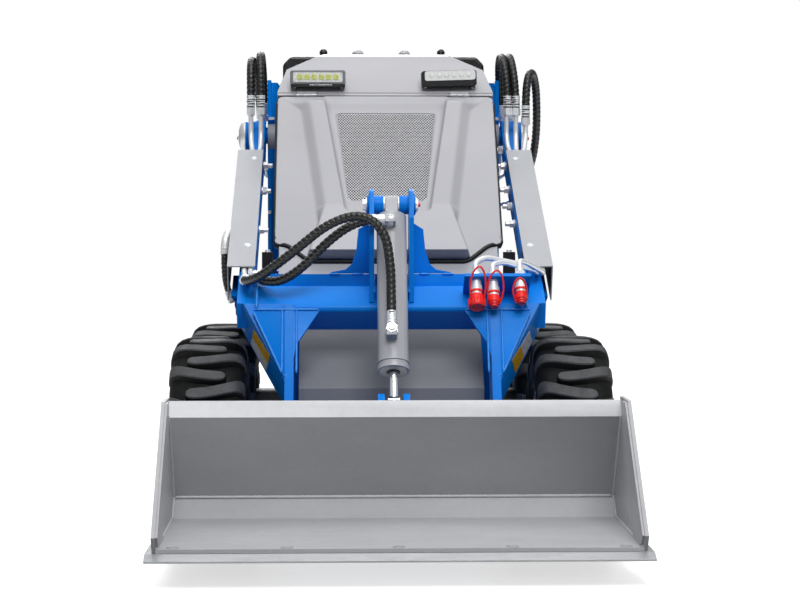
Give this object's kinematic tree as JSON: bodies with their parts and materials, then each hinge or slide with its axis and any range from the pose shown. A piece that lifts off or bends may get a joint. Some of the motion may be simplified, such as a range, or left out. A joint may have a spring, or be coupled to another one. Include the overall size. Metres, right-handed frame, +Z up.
{
  "type": "stand-on wheeled mini loader",
  "caption": "Compact wheeled stand-on loader with cranked lift arms, lift and tilt cylinders, a front bucket, an opening hood door, work lights and a rear operator platform.",
  "frame": {"origin": "centre of the machine's footprint on the floor: bottom centre of its box, measured without the hoses", "axes": "+X to the machine's left hand as seen by the operator facing the bucket (right in the picture), -Y towards the bucket, +Z up"},
  "size_m": [1.045, 1.95, 1.218],
  "materials": {
    "loader_blue": "satin paint",
    "hood_grey": "satin paint",
    "bucket_grey": "satin paint",
    "edge_steel": "satin paint",
    "frame_black": "satin paint",
    "rim_grey": "gloss paint",
    "engine_iron": "cast",
    "pin_steel": "turned",
    "rod_chrome": "polished",
    "fitting_zinc": "zinc plated",
    "tyre_rubber": "matt",
    "hose_rubber": "matt",
    "black_plastic": "textured",
    "lamp_body": "gloss"
  },
  "bodies": {
    "chassis": {"side_plates": "loader_blue", "nose_plates": "loader_blue", "bulkheads": "loader_blue", "frame_floor": "loader_blue", "tie_down_lugs": "loader_blue", "front_plate": "hood_grey", "engine_block": "engine_iron", "pivot_towers": "loader_blue", "pivot_pins": "pin_steel", "left_side_panel": "hood_grey", "right_side_panel": "hood_grey", "hood_surround": "hood_grey", "upper_cowl": "hood_grey", "work_lights": "lamp_body", "control_console": "black_plastic", "control_levers": "black_plastic", "rear_panel": "hood_grey", "grab_bar": "frame_black", "operator_platform": "frame_black", "wheel_motors": "frame_black"},
    "lift_arms": {"left_arm": "loader_blue", "right_arm": "loader_blue", "cross_tube": "loader_blue", "left_leg": "loader_blue", "right_leg": "loader_blue", "tilt_tower": "loader_blue", "tube_covers": "hood_grey", "arm_tubes": "fitting_zinc", "coupler_bracket": "loader_blue", "hydraulic_couplers": "fitting_zinc", "tilt_hose_lower": "hose_rubber", "tilt_hose_upper": "hose_rubber", "left_loop_outer": "hose_rubber", "left_loop_inner": "hose_rubber", "right_loop_inner": "hose_rubber", "right_loop_middle": "hose_rubber", "right_loop_outer": "hose_rubber", "left_lift_hose": "hose_rubber"},
    "bucket": {"bucket": "bucket_grey", "cutting_edge": "edge_steel", "hitch_plate": "loader_blue"},
    "hood": {"hood_door": "hood_grey", "hood_grille": "hood_grey"},
    "tilt_barrel": {"tilt_barrel": "hood_grey"},
    "tilt_rod": {"tilt_rod": "rod_chrome"},
    "left_lift_barrel": {"left_lift_barrel": "loader_blue"},
    "left_lift_rod": {"left_lift_rod": "rod_chrome"},
    "left_front_wheel": {"left_front_tyre": "tyre_rubber", "left_front_rim": "rim_grey"},
    "left_rear_wheel": {"left_rear_tyre": "tyre_rubber", "left_rear_rim": "rim_grey"},
    "right_lift_barrel": {"right_lift_barrel": "loader_blue"},
    "right_lift_rod": {"right_lift_rod": "rod_chrome"},
    "right_front_wheel": {"right_front_tyre": "tyre_rubber", "right_front_rim": "rim_grey"},
    "right_rear_wheel": {"right_rear_tyre": "tyre_rubber", "right_rear_rim": "rim_grey"}
  },
  "joints": [
    {"name": "arm_lift", "type": "hinge", "parent": "chassis", "child": "lift_arms", "pos_m": [0, 0.58, 0.968], "axis": [-1, 0, 0], "range_deg": [-1.9, 72], "deforming": ["left_loop_outer", "left_loop_inner", "right_loop_inner", "right_loop_middle", "right_loop_outer"]},
    {"name": "bucket_tilt", "type": "hinge", "parent": "lift_arms", "child": "bucket", "pos_m": [0, -0.44, 0.165], "axis": [1, 0, 0], "range_deg": [-12, 105]},
    {"name": "hood_open", "type": "hinge", "parent": "chassis", "child": "hood", "pos_m": [0, 0.335, 1.067], "axis": [-1, 0, 0], "range_deg": [0, 60]},
    {"name": "tilt_barrel_swing", "type": "hinge", "parent": "lift_arms", "child": "tilt_barrel", "pos_m": [0, -0.235, 0.775], "axis": [1, 0, 0], "range_deg": [-4.3, 0.6], "deforming": ["tilt_hose_lower", "tilt_hose_upper"]},
    {"name": "tilt_rod_slide", "type": "slide", "parent": "tilt_barrel", "child": "tilt_rod", "axis": [0, -0.4551, -0.8904], "range_m": [-0.03, 0.256]},
    {"name": "left_lift_barrel_swing", "type": "hinge", "parent": "chassis", "child": "left_lift_barrel", "pos_m": [-0.352, 0.6, 0.56], "axis": [-1, 0, 0], "range_deg": [-1.7, 58]},
    {"name": "left_lift_rod_slide", "type": "slide", "parent": "left_lift_barrel", "child": "left_lift_rod", "axis": [0, -0.9988, -0.049], "range_m": [-0.0125, 0.4345]},
    {"name": "left_front_wheel_spin", "type": "hinge", "parent": "chassis", "child": "left_front_wheel", "pos_m": [-0.4325, -0.14, 0.23], "axis": [1, 0, 0], "continuous": true},
    {"name": "left_rear_wheel_spin", "type": "hinge", "parent": "chassis", "child": "left_rear_wheel", "pos_m": [-0.4325, 0.446, 0.23], "axis": [1, 0, 0], "continuous": true},
    {"name": "right_lift_barrel_swing", "type": "hinge", "parent": "chassis", "child": "right_lift_barrel", "pos_m": [0.352, 0.6, 0.56], "axis": [-1, 0, 0], "range_deg": [-1.7, 58]},
    {"name": "right_lift_rod_slide", "type": "slide", "parent": "right_lift_barrel", "child": "right_lift_rod", "axis": [0, -0.9988, -0.049], "range_m": [-0.0125, 0.4345]},
    {"name": "right_front_wheel_spin", "type": "hinge", "parent": "chassis", "child": "right_front_wheel", "pos_m": [0.4325, -0.14, 0.23], "axis": [1, 0, 0], "continuous": true},
    {"name": "right_rear_wheel_spin", "type": "hinge", "parent": "chassis", "child": "right_rear_wheel", "pos_m": [0.4325, 0.446, 0.23], "axis": [1, 0, 0], "continuous": true}
  ],
  "couplings": [
    {"joint": "left_lift_barrel_swing", "follows": "arm_lift", "ratio": 0.8},
    {"joint": "left_lift_rod_slide", "follows": "arm_lift", "m_per_rad": 0.345},
    {"joint": "right_lift_barrel_swing", "follows": "arm_lift", "ratio": 0.8},
    {"joint": "right_lift_rod_slide", "follows": "arm_lift", "m_per_rad": 0.345},
    {"joint": "tilt_barrel_swing", "follows": "bucket_tilt", "ratio": -0.0395},
    {"joint": "tilt_rod_slide", "follows": "bucket_tilt", "m_per_rad": 0.1393}
  ]
}
